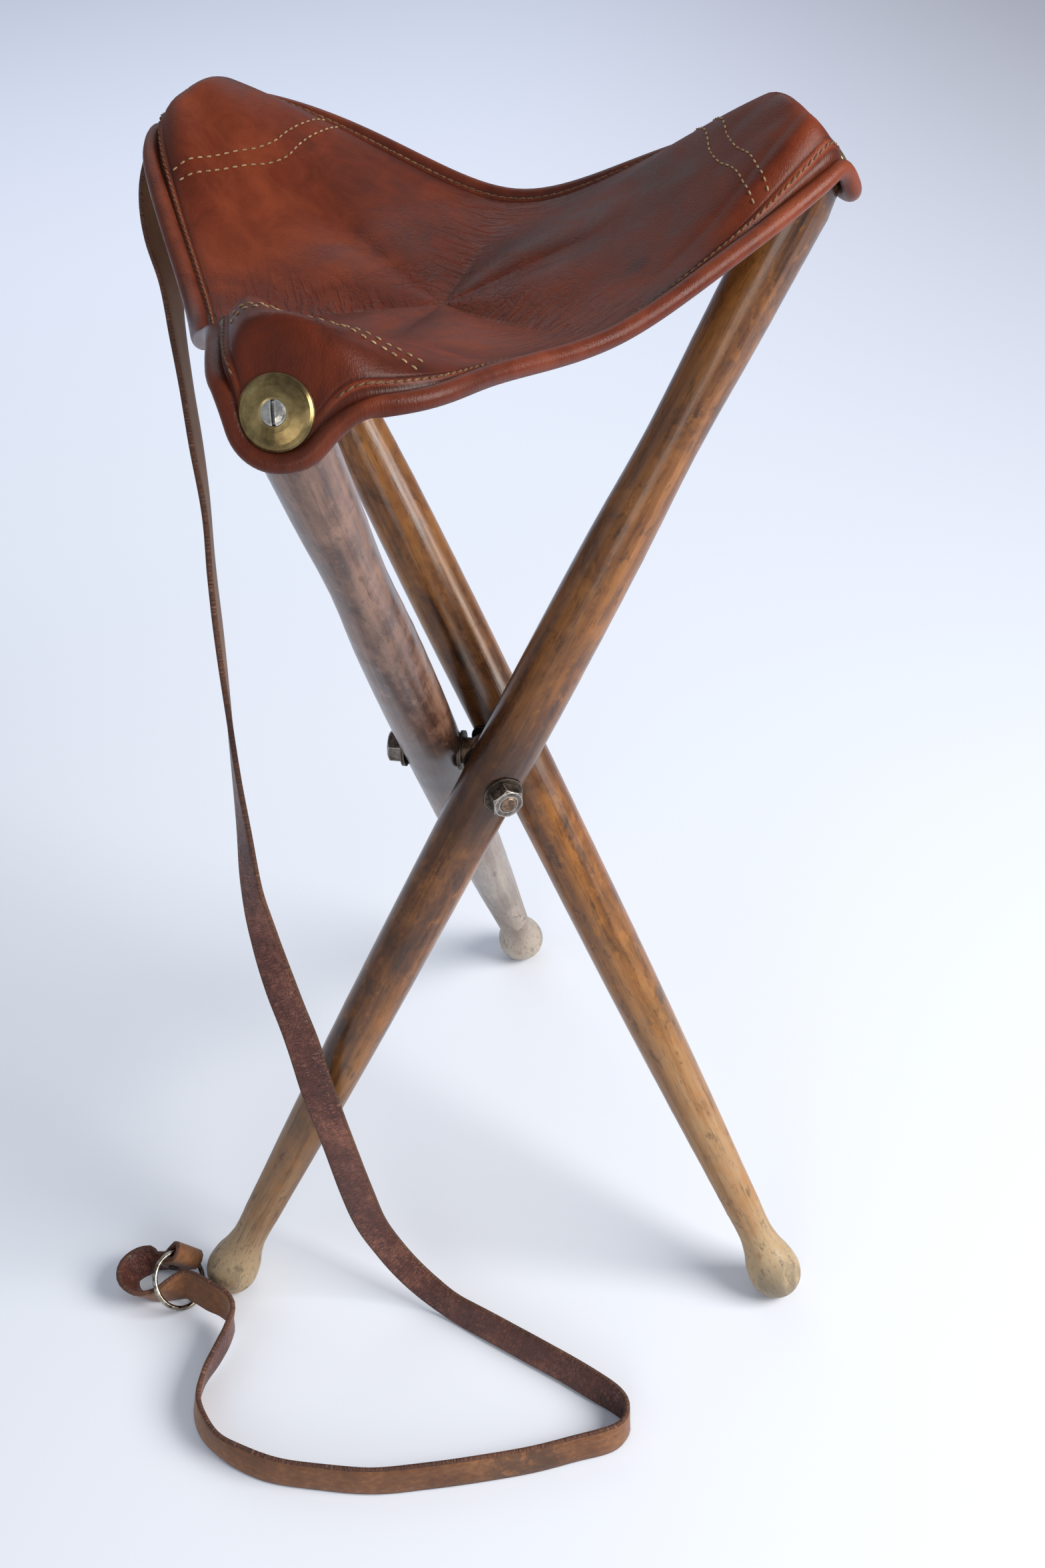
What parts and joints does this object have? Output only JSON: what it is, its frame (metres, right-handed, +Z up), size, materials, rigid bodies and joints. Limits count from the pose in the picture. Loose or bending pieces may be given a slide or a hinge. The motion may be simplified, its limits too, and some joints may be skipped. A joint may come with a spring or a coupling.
{
  "type": "folding tripod stool",
  "caption": "Folding three-legged field stool: turned wooden legs cross at a threaded hub and carry a sagging triangular leather seat, with a carrying strap.",
  "frame": {"origin": "middle of the standing stool's box at floor level, the strap left out", "axes": "+Z up; foot A points to -X -Y, foot B to +X -Y, foot C to +Y"},
  "size_m": [0.3543, 0.369, 0.5575],
  "materials": {
    "forged_steel": "dark forged steel, threaded arms",
    "dark_steel": "plain steel, tarnished",
    "plated_steel": "steel, worn plating",
    "turned_wood": "turned hardwood, brown stain rubbed through to pale wood towards the feet, satin lacquer",
    "patch_leather": "dark leather disc",
    "brass": "patinated brass with a bright rim",
    "bright_steel": "bright steel",
    "seat_leather": "red-brown saddle leather, mottled, semi-gloss",
    "edge_leather": "rolled and stitched red-brown leather",
    "strap_leather": "dark grain side, tan suede flesh side",
    "ring_steel": "nickel-plated steel wire",
    "rivet_steel": "dark steel"
  },
  "bodies": {
    "hub": {"hub": "forged_steel", "inner_washer_a": "dark_steel", "inner_washer_b": "dark_steel", "inner_washer_c": "dark_steel", "outer_washer_a": "dark_steel", "outer_washer_b": "dark_steel", "outer_washer_c": "dark_steel", "nut_a": "plated_steel", "nut_b": "plated_steel", "nut_c": "plated_steel", "seat_leather": "seat_leather", "edge_roll": "edge_leather", "strap": "strap_leather", "strap_ring": "ring_steel", "strap_rivet": "rivet_steel"},
    "leg_a": {"leg_a": "turned_wood", "patch_a": "patch_leather", "cup_washer_a": "brass", "screw_a": "bright_steel"},
    "leg_b": {"leg_b": "turned_wood", "patch_b": "patch_leather", "cup_washer_b": "brass", "screw_b": "bright_steel"},
    "leg_c": {"leg_c": "turned_wood", "patch_c": "patch_leather", "cup_washer_c": "brass", "screw_c": "bright_steel"}
  },
  "joints": [
    {"name": "fold_a", "type": "hinge", "parent": "hub", "child": "leg_a", "pos_m": [0.00393, -0.02594, 0.28549], "axis": [0.3866, -0.9223, 0], "range_deg": [0, 30], "deforming": ["seat_leather", "edge_roll"]},
    {"name": "fold_b", "type": "hinge", "parent": "hub", "child": "leg_b", "pos_m": [0.0083, 0.00843, 0.28549], "axis": [0.6054, 0.7959, 0], "range_deg": [0, 30]},
    {"name": "fold_c", "type": "hinge", "parent": "hub", "child": "leg_c", "pos_m": [-0.02364, -0.00496, 0.28549], "axis": [-0.992, 0.1264, 0], "range_deg": [0, 30]}
  ],
  "couplings": [
    {"joint": "fold_b", "follows": "fold_a", "ratio": 1},
    {"joint": "fold_c", "follows": "fold_a", "ratio": 1}
  ]
}
